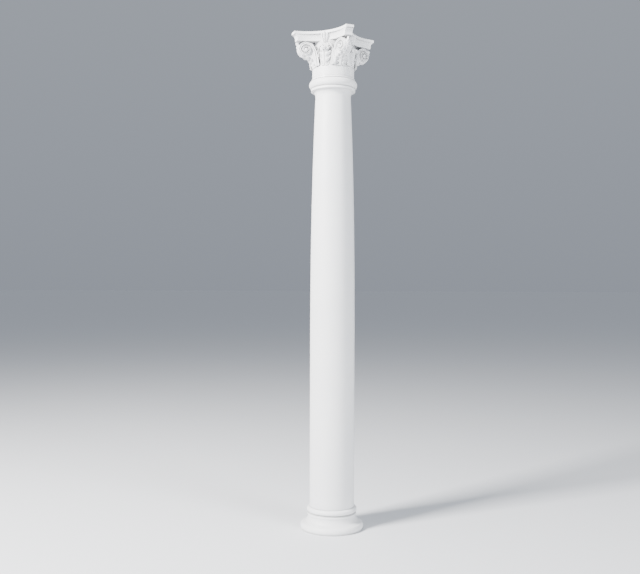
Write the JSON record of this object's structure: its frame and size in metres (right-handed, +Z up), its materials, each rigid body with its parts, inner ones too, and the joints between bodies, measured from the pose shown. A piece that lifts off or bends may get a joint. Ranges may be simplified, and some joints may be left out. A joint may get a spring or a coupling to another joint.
{
  "type": "decorative column",
  "caption": "Round column with a moulded base ring, a smooth hollow shaft that narrows towards its neck, and a square capital carved with leaves and corner scrolls.",
  "frame": {"origin": "centre of the base's underside", "axes": "+Z up along the column's axis, +X and +Y square to the sides of the capital"},
  "size_m": [0.32, 0.32, 2.3876],
  "materials": {
    "white_primer": "satin"
  },
  "bodies": {
    "root": {"base": "white_primer", "shaft": "white_primer", "capital": "white_primer"}
  },
  "joints": []
}
